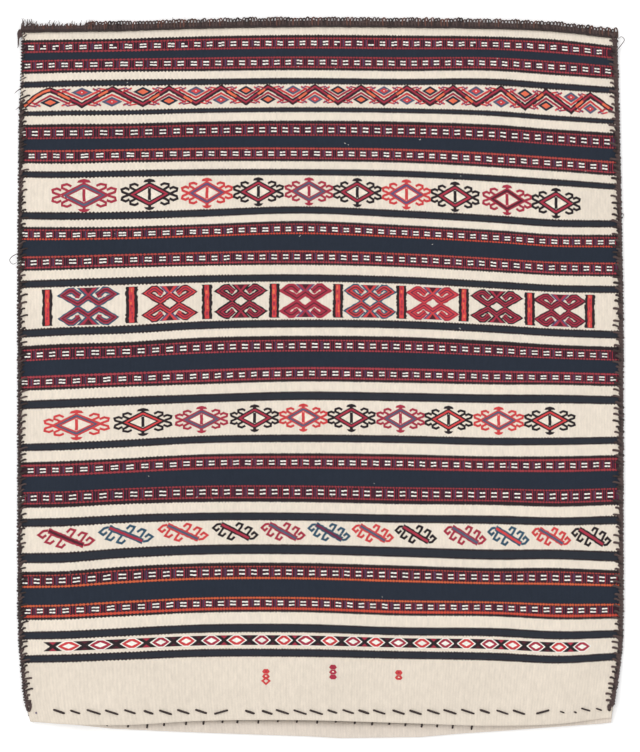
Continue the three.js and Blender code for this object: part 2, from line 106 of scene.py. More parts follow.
# Places on the cloth: side edges as (s, x), the weft's bow down from its middle as (s, bows at SAG_X),
# and the back panel's lip as (x, s)
LEFT_EDGE = ((18, 22.5), (120, 19.6), (250, 18.2), (600, 18.2), (640, 19.4), (662, 21.4), (690, 23.8),
             (704, 26), (722, 30.6), (740, 32))
RIGHT_EDGE = ((18, 616), (50, 617), (180, 620.4), (300, 622.4), (600, 622.6), (640, 621.6), (661, 619.6),
              (697, 614.6), (715, 612), (740, 611))
SAG_X = (18, 60, 120, 200, 300, 400, 500, 555, 612)
SAG = (
    (26, (5.4, 5, 4, 1.5, 0, 0.5, 2, 4.5, 11)),
    (73, (3.4, 2.6, 1.6, 1, 0, 1, 1, 5, 8.4)),
    (116, (3.6, 3.4, 3, 1, 0, 1, 4.4, 8.6, 11.6)),
    (165, (1.4, 2.2, 1.2, 0, 0, 1.4, 6.4, 10, 14)),
    (216, (5.4, 6.2, 5.8, 3.4, 0, 4, 9.6, 13.4, 13.6)),
    (269, (6, 5, 3, 1, 0, 2.2, 7.4, 10.6, 11.4)),
    (331, (10.4, 8.2, 6.4, 1.8, 0, 1, 5.6, 9, 11)),
    (386, (9.4, 7.8, 5.4, 2.8, 0, 1.2, 3, 3.2, 4.6)),
    (447, (9.4, 8.2, 5.4, 1.2, 0, 1, 3.2, 3, 2)),
    (506, (6.2, 5.2, 2.2, 0, 0, 2, 3, 4.6, 3.2)),
    (557, (9.4, 8.6, 4, 0.4, 0, 2.6, 5.4, 5, 7.6)),
    (617, (8.6, 7.4, 4.4, 0.6, 0, 3.4, 4.4, 7.2, 7)),
    (656, (7, 5.6, 3.2, 0.2, 0, 2, 4, 6.6, 4.4)),
    (720, (1, 4, 5, 0.8, 0, 2.8, 5.6, 4, -2)),
)
BACK_LIP = ((18, 722), (60, 724), (112, 729.4), (168, 732), (220, 734), (308, 737), (340, 738.8),
            (420, 737.8), (459, 734.4), (504, 731.5), (560, 727.3), (600, 724.5), (622, 722))


def lookup(pairs, at):
    xs, ys = zip(*pairs)
    return np.interp(at, xs, ys)


def step(low, high, at):
    """A smooth rise from 0 at low to 1 at high."""
    t = np.clip((at - low) / (high - low), 0, 1)
    return t * t * (3 - 2 * t)


def eased(xs, ys, at):
    """A smooth curve through given points."""
    xs, ys = np.asarray(xs, float), np.asarray(ys, float)
    slope = np.gradient(ys, xs)
    i = np.clip(np.searchsorted(xs, at, side="right") - 1, 0, len(xs) - 2)
    h = xs[i + 1] - xs[i]
    t = np.clip((at - xs[i]) / h, 0, 1)
    a, b, c, d = 2 * t**3 - 3 * t**2 + 1, t**3 - 2 * t**2 + t, -2 * t**3 + 3 * t**2, t**3 - t**2
    return a * ys[i] + b * h * slope[i] + c * ys[i + 1] + d * h * slope[i + 1]


def as_arrays(*values):
    return np.broadcast_arrays(*[np.asarray(value, float) for value in values])


FINE_X = np.linspace(10, 630, 156)
SAG_S = np.array([row[0] for row in SAG], float)
SAG_FINE = np.array([eased(SAG_X, row[1], FINE_X) for row in SAG])


def sag(x, s):
    """How far the weft bows down at a place on the cloth."""
    x, s = as_arrays(x, s)
    j = np.clip(np.searchsorted(SAG_S, s, side="right") - 1, 0, len(SAG_S) - 2)
    t = step(SAG_S[j], SAG_S[j + 1], s)
    u = np.clip((x - FINE_X[0]) / (FINE_X[1] - FINE_X[0]), 0, len(FINE_X) - 1.001)
    i = u.astype(int)
    w = u - i

    def row(k):
        return SAG_FINE[k, i] * (1 - w) + SAG_FINE[k, i + 1] * w

    return row(j) * (1 - t) + row(j + 1) * t


def across(nominal, s):
    """Where a warp that stands at a nominal x lies at a distance down the cloth."""
    f = (nominal - LEFT) / (RIGHT - LEFT)
    return lookup(LEFT_EDGE, s) * (1 - f) + lookup(RIGHT_EDGE, s) * f


def from_side(x, s):
    """Distance from the nearer side edge."""
    return np.minimum(x - lookup(LEFT_EDGE, s), lookup(RIGHT_EDGE, s) - x)


SEWN_LEVEL, SEWN_LIFT = 3.6, 4  # the front panel's underside at its sewn edges, and its lift towards the lip
OPEN_LEVEL, OPEN_LIFT = 11.2, 3.3  # the same over the pocket
PUFF = 0.5
EDGE_RISE = 1.6  # how far the back panel's edges lift off the ground


def front_level(x, s):
    """Height of the front panel's underside: low at its sewn edges, full over the pocket."""
    full = np.minimum(step(6, 54, from_side(x, s)), step(4, 56, s - BASE))
    low = SEWN_LEVEL + SEWN_LIFT * step(654, 704, s)
    mid = OPEN_LEVEL + OPEN_LIFT * step(604, 704, s)
    puff = PUFF * np.sin(x / 47 + s / 83) * np.sin(s / 61 - x / 140) * full
    return low + (mid - low) * full + puff


def on_front(x, s, rise=0.0):
    """World place, in millimetres, of a point above the front panel's underside."""
    x, s, rise = as_arrays(x, s, rise)
    return np.stack([x - ORIGIN_X, ORIGIN_Y - s - sag(x, s), front_level(x, s) + rise], axis=-1)


def back_level(x, s):
    """Height of the back panel's underside."""
    full = np.minimum(step(10, 32, from_side(x, s)), step(10, 32, s - BASE))
    return EDGE_RISE * (1 - np.minimum(full, step(14, 34, LIP - s)))


def on_back(x, s, rise=0.0):
    """The same for the back panel, whose lip hangs lower."""
    x, s, rise = as_arrays(x, s, rise)
    t = step(640, LIP, s)
    y = s + sag(x, s) * (1 - t) + (lookup(BACK_LIP, x) - LIP) * t
    return np.stack([x - ORIGIN_X, ORIGIN_Y - y, back_level(x, s) + rise], axis=-1)


def flat_sag(x, y):
    """A photo place as cloth coordinates."""
    return (x, y - float(sag(x, y)))


# Meshes
class Maker:
    """Gathers points and faces, each face with a yarn, and makes one mesh of them."""

    def __init__(self, *yarns):
        self.yarns = list(yarns)
        self.points = []
        self.faces = []
        self.kinds = []
        self.maps = []

    def kind(self, yarn):
        if yarn not in self.yarns:
            self.yarns.append(yarn)
        return self.yarns.index(yarn)

    def grid(self, points, yarn, closed=False):
        """A sheet of quads over points[i][j]; closed joins the last column to the first."""
        rows, columns = points.shape[:2]
        base = len(self.points)
        self.points.extend(points.reshape(-1, 3).tolist())
        kind = self.kind(yarn)
        for i in range(rows - 1):
            for j in range(columns if closed else columns - 1):
                a, b = base + i * columns + j, base + i * columns + (j + 1) % columns
                self.faces.append((a, b, b + columns, a + columns))
                self.kinds.append(kind)
                self.maps.append(((i, j), (i, j + 1), (i + 1, j + 1), (i + 1, j)))

    def fan(self, ring, middle, yarn, turned=False):
        """Triangles from a ring to a point in its middle."""
        base = len(self.points)
        self.points.extend([list(p) for p in ring] + [list(middle)])
        n = len(ring)
        kind = self.kind(yarn)
        for j in range(n):
            face = (base + j, base + (j + 1) % n, base + n)
            self.faces.append(face[::-1] if turned else face)
            self.kinds.append(kind)
            self.maps.append(((0, j), (0, j + 1), (1, j)))

    def build(self, name, slot, replaces=()):
        mesh = bpy.data.meshes.new(name)
        mesh.from_pydata([(x * MM, y * MM, z * MM) for x, y, z in self.points], [], self.faces)
        for yarn in self.yarns:
            mesh.materials.append(wool_material(yarn))
        mesh.polygons.foreach_set("material_index", self.kinds)
        mesh.polygons.foreach_set("use_smooth", [True] * len(self.faces))
        layer = mesh.uv_layers.new(name="along")
        flat = [float(c) for corners in self.maps for corner in corners for c in corner]
        layer.data.foreach_set("uv", flat)
        return finish_piece(name, mesh, replaces)


def put_in_scene(name, data):
    thing = bpy.data.objects.new(name, data)
    bpy.context.scene.collection.objects.link(thing)
    return thing


def finish_piece(name, mesh, replaces=()):
    mesh.update()
    piece = put_in_scene(name, mesh)
    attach(piece, "root")
    if replaces:
        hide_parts(*replaces)
    return piece


# Materials
def nodes_of(material):
    material.use_nodes = True
    tree = material.node_tree
    return tree, tree.nodes["Principled BSDF"]


def add(tree, kind, inputs=(), **fields):
    """A new node; an input that is a socket is linked, and any other value is set."""
    node = tree.nodes.new(kind)
    for key, value in fields.items():
        setattr(node, key, value)
    for key, value in dict(inputs).items():
        if isinstance(value, bpy.types.NodeSocket):
            tree.links.new(value, node.inputs[key])
        else:
            node.inputs[key].default_value = value
    return node


def maths(tree, operation, a, b=0.0):
    return add(tree, "ShaderNodeMath", {0: a, 1: b}, operation=operation).outputs[0]


def multiply(tree, colour, factor):
    mixed = add(tree, "ShaderNodeMix", {"Factor": 1.0}, data_type="RGBA", blend_type="MULTIPLY")
    tree.links.new(colour, mixed.inputs[6])
    tree.links.new(factor, mixed.inputs[7])
    return mixed.outputs[2]


def noise(tree, vector, scale, detail=2.0, stretch=(1, 1, 1)):
    mapped = add(tree, "ShaderNodeMapping", {"Vector": vector, "Scale": stretch}).outputs[0]
    return add(tree, "ShaderNodeTexNoise", {"Vector": mapped, "Scale": scale, "Detail": detail}).outputs[0]


def shade(tree, colour, amount, low, high):
    """The colour made lighter and darker by an amount between 0 and 1."""
    spread = add(tree, "ShaderNodeMapRange", {"Value": amount, "From Min": 0.25, "From Max": 0.75,
                                              "To Min": low, "To Max": high})
    return multiply(tree, colour, spread.outputs[0])


def bumped(tree, shader, height, strength, distance):
    bump = add(tree, "ShaderNodeBump", {"Strength": strength, "Distance": distance, "Height": height})
    tree.links.new(bump.outputs[0], shader.inputs["Normal"])


def set_inputs(node, values):
    for key, value in values.items():
        node.inputs[key].default_value = value


def cloth_settings(shader, roughness):
    set_inputs(shader, {"Roughness": roughness, "Specular IOR Level": 0.12, "Sheen Weight": 0.06,
                        "Sheen Roughness": 0.6})


def panel_material():
    """Weft-faced wool: the yarn's colour is on the faces, the ribs' beads are raised, and painted shade
    darkens the valleys between them.
    """
    material = bpy.data.materials.new("weave")
    tree, shader = nodes_of(material)
    cloth_settings(shader, 0.92)
    place = add(tree, "ShaderNodeTexCoord").outputs["Object"]
    yarn = add(tree, "ShaderNodeAttribute", attribute_name="yarn").outputs["Color"]
    rib = add(tree, "ShaderNodeAttribute", attribute_name="rib").outputs["Fac"]
    weave = add(tree, "ShaderNodeUVMap", uv_map="weave").outputs[0]
    axes = add(tree, "ShaderNodeSeparateXYZ", {0: weave})
    over = maths(tree, "MULTIPLY", maths(tree, "FLOOR", axes.outputs[0]), 0.5)
    phase = maths(tree, "MULTIPLY", maths(tree, "ADD", axes.outputs[1], over), math.pi)
    bead = maths(tree, "ABSOLUTE", maths(tree, "SINE", phase))
    fibre = noise(tree, place, 2600, 2, (0.35, 1, 1))
    colour = shade(tree, yarn, noise(tree, place, 9, 3, (1, 2.2, 1)), 0.965, 1.035)
    colour = shade(tree, colour, noise(tree, place, 330, 2, (1, 0.35, 1)), 0.93, 1.06)
    colour = shade(tree, colour, fibre, 0.93, 1.06)
    # Painted shade: the colour is darker in the valleys between the ribs and between the beads
    beaded = maths(tree, "ADD", maths(tree, "MULTIPLY", bead, 0.6), maths(tree, "MULTIPLY", rib, 0.7))
    painted_valley_shade = add(tree, "ShaderNodeMapRange", {"Value": beaded, "From Max": 1.3,
                                              "To Min": 0.93, "To Max": 1.03})
    tree.links.new(multiply(tree, colour, painted_valley_shade.outputs[0]), shader.inputs["Base Color"])
    height = maths(tree, "ADD", bead, maths(tree, "MULTIPLY", fibre, 0.6))
    bumped(tree, shader, height, 0.75, 0.00022)
    return material


def wool_material(yarn):
    """One colour of wool yarn, with its fibres."""
    if yarn in bpy.data.materials:
        return bpy.data.materials[yarn]
    material = bpy.data.materials.new(yarn)
    tree, shader = nodes_of(material)
    cloth_settings(shader, 0.9)
    place = add(tree, "ShaderNodeTexCoord").outputs["Object"]
    base = add(tree, "ShaderNodeRGB")
    base.outputs[0].default_value = (*linear(yarn), 1)
    fibre = noise(tree, place, 1500, 3)
    colour = shade(tree, base.outputs[0], noise(tree, place, 160, 2), 0.86, 1.12)
    colour = shade(tree, colour, fibre, 0.85, 1.13)
    tree.links.new(colour, shader.inputs["Base Color"])
    bumped(tree, shader, fibre, 0.6, 0.0003)
    return material


# The woven stripes: what each section of the pattern holds, and where each stripe of it ends
SECTION = ("ivory", "black", "guard", "dots", "guard", "navy", "guard", "dots", "guard", "black",
           "ivory", "line", "ivory", "line")
SECTION_ENDS = (
    (34.4, 36.8, 39, 46, 48.4, 56, 58.2, 65.8, 68, 70.2, 77.9, 84.2, 107.3, 112.2),
    (120.7, 123.5, 125.6, 134, 136.1, 147.3, 149.9, 157.1, 159.3, 161.4, 169.1, 175.4, 206.4, 213.7),
    (221, 223.2, 225.2, 232.2, 234.4, 250.2, 252.7, 260.7, 263.1, 264.9, 274.3, 281.7, 319.6, 327.6),
    (335.8, 339.5, 341.5, 349.6, 351.7, 366.8, 369.6, 377, 379.4, 381.6, 391.5, 400.2, 434.5, 442.2),
    (453.2, 455.6, 458.4, 466.1, 468.9, 485.2, 487.3, 496.6, 498.9, 502.2, 512.6, 520.7, 544.5, 554.4),
    (562.8, 565.9, 567.7, 576.8, 579.6, 596.7, 599.3, 607, 610.2, 612.2, 623.8, 632.4, 648.8, 656.8),
)
GUARDS = (  # the four thin guard lines of each section's border
    ("madder", "madder", "madder", "rose"),
    ("madder", "madder", "brick", "rose"),
    ("madder", "flame", "brick", "rose"),
    ("rose", "rose", "rose", "rose"),
    ("madder", "madder", "madder", "madder"),
    ("brick", "apricot", "apricot", "flame"),
)
GUARD_ABOVE, GUARD_BELOW = 0.45, 0.5  # dark yarn on both sides of a guard line
LINE_EDGE = 1.4


def stripe_list():
    """Every stripe from the base to the lip, as where it ends and its yarn; also the dotted rows."""
    stripes, dotted = [], []
    start = BASE
    for ends, guards in zip(SECTION_ENDS, GUARDS):
        guards = iter(guards)
        for kind, end in zip(SECTION, ends):
            yarn = kind
            if kind == "guard":
                stripes += [(start + GUARD_ABOVE, "dark plum"), (end - GUARD_BELOW, next(guards))]
                yarn = "dark plum"
            elif kind == "dots":
                dotted.append((start, end))
                yarn = "dark plum"
            elif kind == "line":
                stripes += [(start + LINE_EDGE, "black"), (end - LINE_EDGE, "blue black")]
                yarn = "black"
            stripes.append((end, yarn))
            start = end
    return stripes + [(LIP, "plain end")], dotted


STRIPES, DOTTED = stripe_list()

WIDE_WARP = 107  # where the ribs are widest
LAST_RIB = 1.5  # no narrower rib than this at the right edge


def warp_pitch(x):
    reach = 60 if x < WIDE_WARP else 75
    return 2.9 + math.exp(-(((x - WIDE_WARP) / reach) ** 2))


def rib_edges():
    edges = [LEFT]
    while edges[-1] < RIGHT - LAST_RIB:
        edges.append(edges[-1] + warp_pitch(edges[-1]) * rng.uniform(0.95, 1.05))
    stretch = (RIGHT - LEFT) / (edges[-1] - LEFT)
    return np.array(edges) * stretch + LEFT * (1 - stretch)


RIBS = rib_edges()


def rib_span(k, s):
    return across(RIBS[k], s), across(RIBS[k + 1], s)


def cloth_rows(stripes, widest):
    """Rows down a panel: each its distance, the yarn below it and how its teeth point."""
    rows = [(BASE, stripes[0][1], 0)]
    start = BASE
    for k, (end, yarn) in enumerate(stripes):
        parts = max(1, math.ceil((end - start) / widest))
        rows += [(start + (end - start) * p / parts, yarn, 0) for p in range(1, parts)]
        if k + 1 < len(stripes):
            below = stripes[k + 1][1]
            gap = sum(YARN[below]) - sum(YARN[yarn])
            rows.append((end, below, math.copysign(1, gap) if abs(gap) > 20 else 0))
        start = end
    return rows


INNER_STEP = 26  # between rows of the inner face


def panel_section(rows):
    """A panel's section, down its outer face, round the hem and back along the inner face.

    Each point of it is its distance down, height, which way the ribs stand, yarn and teeth.
    """
    plain = rows[-1][1]
    section = [(s, CLOTH, 1, yarn, teeth) for s, yarn, teeth in rows]
    section.append((LIP - FOLD, CLOTH, 1, plain, 0))
    for degrees in (30, 60, 90, 120, 150):
        a = math.radians(degrees)
        section.append((LIP - FOLD + FOLD * math.sin(a), CLOTH - FOLD + FOLD * math.cos(a),
                        math.cos(a), plain, 0))
    section += [(s, CLOTH - 2 * FOLD, -1, plain, 0) for s in (LIP - FOLD, LIP - HEM / 2, LIP - HEM)]
    section += [(LIP - HEM, -HEM_GAP, 0, plain, 0), (LIP - FOLD, -HEM_GAP, 0, plain, 0),
                (LIP - FOLD, 0, 0, plain, 0)]
    section += [(s, 0, -1, plain, 0) for s in np.arange(LIP - FOLD - INNER_STEP, BASE, -INNER_STEP)]
    return section + [(BASE, 0, 0, plain, 0)]


def panel_maps(mesh, columns, coords, outer_rows):
    """Two maps of a panel: one counts its ribs and beads, and one lays the whole panel out flat."""
    n, count = len(columns), len(coords)
    corner = np.empty(len(mesh.loops), int)
    mesh.loops.foreach_get("vertex_index", corner)
    ribs = np.tile(np.arange(n) / 2, count)[corner]
    beads = np.concatenate(coords)[corner]
    weave = mesh.uv_layers.new(name="weave")
    weave.data.foreach_set("uv", np.stack([ribs, beads], axis=-1).ravel())

    outer = [0.99 - 0.85 * k / outer_rows for k in range(outer_rows)]
    inner = [0.13 - 0.1 * k / (count - outer_rows) for k in range(count - outer_rows)]
    at_u = (0.02 + 0.96 * (np.tile(columns, count) - LEFT) / (RIGHT - LEFT))[corner]
    at_v = np.repeat(np.array(outer + inner), n)[corner]
    first_closing, first_end = 4 * (count - 1) * (n - 1), 4 * count * (n - 1)
    closing = slice(first_closing, first_end)
    at_v[closing] = np.where(corner[closing] < n, 0.02, at_v[closing])
    at_u[first_end:] = np.repeat((0.004, 0.996), count) + 0.002 * (np.arange(2 * count) % 2)
    flat = mesh.uv_layers.new(name="OFBake")
    flat.data.foreach_set("uv", np.stack([at_u, at_v], axis=-1).ravel())


def panel(name, rows, place, flip, replaces):
    """Ribbed cloth with its hem turned, its outer and inner face closed into one body."""
    columns = np.empty(2 * len(RIBS) - 1)
    columns[0::2] = RIBS
    columns[1::2] = (RIBS[:-1] + RIBS[1:]) / 2
    n = len(columns)
    crest = np.arange(n) % 2.0
    tooth = 0.6 * np.random.default_rng(3).uniform(0.6, 1.4, n)
    section = panel_section(rows)
    count = len(section)
    line, coords = [], []
    for s, rise, side, _, teeth in section:
        at = s + teeth * tooth * (2 * crest - 1)
        height = rise + side * FLUTE * (crest - (1 - RIB_ABOVE))
        if flip:
            height = CLOTH - height + RIB_ABOVE * FLUTE
        line.append(place(across(columns, np.full(n, s)), at, height))
        coords.append(at / BEAD)

    i, j = np.meshgrid(np.arange(count), np.arange(n - 1), indexing="ij")
    a, c = i * n + j, ((i + 1) % count) * n + j
    quads = np.stack([a, a + 1, c + 1, c], axis=-1).reshape(-1, 4)
    if flip:
        quads = quads[:, ::-1]
    faces = quads[:, ::-1].tolist()
    ends = [[k * n for k in range(count)], [k * n + n - 1 for k in range(count)][::-1]]
    faces += [end[::-1] if flip else end for end in ends]
    mesh = bpy.data.meshes.new(name)
    mesh.from_pydata((np.concatenate(line) * MM).tolist(), [], faces)
    mesh.polygons.foreach_set("use_smooth", [True] * len(faces))
    panel_maps(mesh, columns, coords, len(rows) + 3)

    tint = np.array([linear(point[3]) for point in section])
    per_face = np.concatenate([np.repeat(tint, n - 1, axis=0), tint[-1:], tint[-1:]])
    corners = np.full(len(faces), 4)
    corners[-2:] = count
    values = np.ones((len(mesh.loops), 4))
    values[:, :3] = np.repeat(per_face, corners, axis=0)
    yarn = mesh.attributes.new("yarn", "FLOAT_COLOR", "CORNER")
    yarn.data.foreach_set("color", values.ravel())
    # The ribs' crests, which the weave material uses to paint shade into the valleys between them
    rib = mesh.attributes.new("rib", "FLOAT", "POINT")
    rib.data.foreach_set("value", np.tile(crest, count))
    mesh.materials.append(WEAVE)
    return finish_piece(name, mesh, replaces)


# Lines, patches and tubes of yarn
STROKE_EDGE, PATCH_EDGE = 0.1, 0.08  # how far their edges lie below their tops


def stroke(made, line, width, yarn, lift=0.3, at=(0, 0), scale=(1, 1), closed=False, pitch=2.2):
    """A flat ridge of yarn along a line drawn on the cloth."""
    path = np.array(line, float) * scale
    count = len(path)
    after = np.roll(path, -1, 0) - path
    after /= np.linalg.norm(after, axis=1)[:, None] + 1e-9
    if not closed:
        after[-1] = after[-2]
    before = np.roll(after, 1, 0)
    if not closed:
        before[0] = after[0]
    normal = np.stack([-after[:, 1], after[:, 0]], 1) + np.stack([-before[:, 1], before[:, 0]], 1)
    normal *= 2 / np.maximum((normal**2).sum(1), 1.2)[:, None]
    out = normal * width
    rows = []
    for k in range(count if closed else count - 1):
        m = (k + 1) % count
        parts = max(1, math.ceil(np.linalg.norm(path[m] - path[k]) / pitch))
        for p in range(parts):
            t = p / parts
            rows.append((path[k] * (1 - t) + path[m] * t, out[k] * (1 - t) + out[m] * t))
    rows.append(rows[0] if closed else (path[-1], out[-1]))
    middle = np.array([row[0] for row in rows]) + at
    side = np.array([row[1] for row in rows])
    wobble = np.array([[rng.uniform(-0.14, 0.14)] for _ in rows])
    if closed:
        wobble[-1] = wobble[0]
    flat = np.stack([middle + side * (1 + wobble), middle, middle - side * (1 - wobble)], axis=1)
    rise = np.array([lift - STROKE_EDGE, lift, lift - STROKE_EDGE]) + CLOTH
    made.grid(on_front(flat[..., 0], flat[..., 1], np.broadcast_to(rise, flat.shape[:2])), yarn)


def patch(made, outline, yarn, lift=0.25, at=(0, 0), scale=(1, 1)):
    """A low crowned shape of yarn on the cloth."""
    ring = np.array(outline, float) * scale
    full = []
    for a, b in zip(ring, np.roll(ring, -1, 0)):
        parts = max(1, math.ceil(np.linalg.norm(b - a) / 5))
        full += [a + (b - a) * p / parts for p in range(parts)]
    ring = np.array(full)
    area = sum(a[0] * b[1] - b[0] * a[1] for a, b in zip(ring, np.roll(ring, -1, 0)))
    if area > 0:
        ring = ring[::-1]
    top = CLOTH + lift
    rings = [on_front(at[0] + ring[:, 0] * share, at[1] + ring[:, 1] * share, top - PATCH_EDGE * share)
             for share in (1.0, 0.66, 0.33)]
    made.grid(np.array(rings), yarn, closed=True)
    made.fan(rings[-1], on_front(*at, top), yarn)


def tube(made, points, radius, yarn, sides):
    """Round yarn along a line of points in millimetres; a radius may be a list."""
    path = np.array(points, float)
    count = len(path)
    radii = np.broadcast_to(np.asarray(radius, float), (count,))
    ahead = np.gradient(path, axis=0)
    ahead /= np.linalg.norm(ahead, axis=1)[:, None] + 1e-9
    normal = np.cross(ahead[0], (0.3, 0.5, 0.8))
    turn = np.linspace(0, 2 * math.pi, sides, endpoint=False)
    rings = []
    for k in range(count):
        normal = normal - ahead[k] * normal.dot(ahead[k])
        normal /= np.linalg.norm(normal) + 1e-9
        other = np.cross(ahead[k], normal)
        rings.append(path[k] + radii[k] * (np.outer(np.cos(turn), normal) + np.outer(np.sin(turn), other)))
    made.grid(np.array(rings), yarn, closed=True)
    made.fan(rings[0], path[0], yarn, turned=True)
    made.fan(rings[-1], path[-1], yarn)


def along(points, count):
    """Points spaced along a smooth line through the given ones."""
    pts = np.array(points, float)
    t = np.arange(len(pts))
    fine = np.linspace(0, len(pts) - 1, count)
    return np.stack([eased(t, pts[:, k], fine) for k in range(pts.shape[1])], axis=-1)


def mirrored(line, sx, sy):
    return [(x * sx, y * sy) for x, y in line]


def rhombus(a, b):
    return [(a, 0), (0, b), (-a, 0), (0, -b)]


def nearest(x, others):
    return min(abs(x - other) for other in others if other != x)


WEAVE = panel_material()

# The two panels
front_rows, back_rows = cloth_rows(STRIPES, 7.5), cloth_rows([(LIP, "plain back")], 14)
front = panel("front_cloth", front_rows, on_front, False, ["front_panel"])
back = panel("back_cloth", back_rows, on_back, True, ["back_panel"])

# Dotted rows of the borders: two rows of paired dashes, with upright bars between the pairs
dots = Maker("white")
FIRST_RIBS = (2, 1, 0, 3, 1, 0, 2, 1, 3, 0, 1, 2)
REPEAT = 4  # ribs from one pair of dashes to the next
for row, (first, (start, end)) in enumerate(zip(FIRST_RIBS, DOTTED)):
    middle = (start + end) / 2
    gap = (end - start) * 0.2
    tall = (end - start) / 2 - 0.15
    worn, most_tilt = (0.02, 0.5) if row == 0 else (0.0, 0.3)
    for k in range(first, len(RIBS) - REPEAT, REPEAT):
        s = middle + rng.uniform(-0.2, 0.2)
        tilt = rng.uniform(-most_tilt, most_tilt)
        for side in (-1, 1):
            for d in (0, 1):
                a, b = rib_span(k + d, s)
                if rng.random() < worn:
                    continue
                y = s + side * gap + tilt * (d - 0.5) + rng.uniform(-0.12, 0.12)
                reach = (b - a) * rng.uniform(0.42, 0.5)
                stroke(dots, [(-reach, 0.18), (0, 0), (reach, 0.18)], rng.uniform(0.6, 0.76), "white",
                       0.5, ((a + b) / 2, y), pitch=9)
        bars = ((-0.12, "black", 0.3), (2.25, "crimson", 0.42), (2.62, "black", 0.28), (3.0, "plum", 0.36),
                (3.38, "violet" if k % 8 < 4 else "black", 0.25), (3.75, "crimson" if k % 3 else "plum", 0.4))
        for shift, yarn, half in bars:
            rib = k + math.floor(shift)
            if rib < 0:
                continue
            a, b = rib_span(rib, s)
            x = a + (b - a) * (shift % 1)
            stroke(dots, [(0, -tall), (0, 0), (0, tall)], half * rng.uniform(0.8, 1.15), yarn, 0.3,
                   (x, middle), pitch=9)

# Band 1: a zigzag ribbon with small diamonds on both sides
PEAKS = (50, 112, 169, 221, 268, 315, 361, 407, 453, 501, 546, 590.5)
TROUGHS = (82, 143, 196, 246, 293, 338, 384, 430, 476, 525, 571)
ZIG_TOP, ZIG_BOTTOM = 87.4, 102
zigzag = Maker("black")
ribbon = [(23.5, 102.6), (36, 92.4), (43, 88.7)]
for k, x in enumerate(PEAKS):
    ribbon.append((x, ZIG_TOP - 0.6))
    if k < len(TROUGHS):
        ribbon.append((TROUGHS[k], ZIG_BOTTOM + 0.2))
ribbon.append((613, 99.5))
stroke(zigzag, ribbon, 2.6, "black", 0.34)
stroke(zigzag, ribbon, 1.5, "maroon", 0.46)
stroke(zigzag, [(x, y - 0.4) for x, y in ribbon], 0.7, "crimson", 0.58)
for k, ((x0, y0), (x1, y1)) in enumerate(zip(ribbon, ribbon[1:])):
    cut = (0.0, 1.0) if k < 3 else (0.25, 0.62) if k % 3 == 0 else (0.55, 0.86) if k % 3 == 1 else ()
    if cut:
        stroke(zigzag, [(x0 + (x1 - x0) * t, y0 + (y1 - y0) * t) for t in cut], 1.1, "orange", 0.7)


def between(x, left, right, down, dark, core):
    """A diamond in one of the zigzag's triangles, with the chevron that frames it."""
    sign = 1 if down else -1
    tip = ZIG_TOP + 5.1 if down else ZIG_BOTTOM - 5.3
    ends = tip + sign * 8.6
    a = x - (x - left) * 0.62
    b = x + (right - x) * 0.62
    main, other = ("red", "crimson") if core == "red" else ("crimson", "red")
    stroke(zigzag, [(a, ends), (x, tip), (b, ends)], 0.95, main, 0.36)
    for edge in (left, right):
        reach = edge - x
        for near, near_y, far, far_y, width, yarn, lift in (
                (0.36, 1.6, 0.74, -2.9, 0.8, other, 0.33), (0.52, 1.9, 0.82, 0.5, 0.7, main, 0.3),
                (0.4, -0.2, 0.6, 2.2, 0.45, "violet", 0.38)):
            stroke(zigzag, [(x + reach * near, ends + sign * near_y), (x + reach * far, ends + sign * far_y)],
                   width, yarn, lift)
    at = (x, tip + sign * 6.7)
    wide = (right - left) * 0.145
    patch(zigzag, rhombus(wide * 1.2, 4.7), dark, 0.4, at)
    patch(zigzag, rhombus(wide * 0.68, 2.6), core, 0.52, at)
    if core == "red":
        patch(zigzag, rhombus(0.9, 0.7), "white", 0.6, at)


marks = [23] + list(TROUGHS) + [612]
PAIRS = (("navy", "orange"), ("slate", "red"))
for k, x in enumerate(PEAKS):
    between(x, marks[k], marks[k + 1], True, *PAIRS[k % 2])
for k, x in enumerate(TROUGHS):
    between(x, PEAKS[k], PEAKS[k + 1], False, *PAIRS[(k + 1) % 2])

# Bands 2 and 4: hooked diamonds, each its place, outer and second yarn
BAND_2 = ((84, "crimson", "slate"), (149.5, "black", "crimson"), (207, "red", "violet"),
          (258.4, "black", "crimson"), (309, "crimson", "slate"), (357.3, "black", "crimson"),
          (406.4, "red", "violet"), (455, "black", "crimson"), (507, "crimson", "maroon"),
          (556, "black", "crimson"))
BAND_4 = ((76.5, "red", "slate"), (143, "black", "red"), (201.6, "crimson", "slate"),
          (254.6, "black", "crimson"), (303.3, "red", "slate"), (351.4, "black", "crimson"),
          (400.5, "crimson", "slate"), (448.5, "black", "red"), (498.6, "red", "slate"),
          (549.8, "black", "red"))
BAND_2_S, BAND_4_S = 191.2, 417.4
DIAMOND_PITCH = 49.5
HOOKS = ([(12.2, 3.8), (16.9, 6.4), (16.8, 8.6), (13, 9.6), (9.6, 7.9)],
         [(18.6, 0.4), (24, 2.5), (24.5, 4.7), (21, 6), (17.6, 4.4)])
KNOB = 12.2  # from a diamond's middle to its knobs
KNOBS = {-1: (5.4, 10.9, 4.2, 13, 14.3), 1: (4.8, 11.8, 3.2, 13.8, 14.8)}


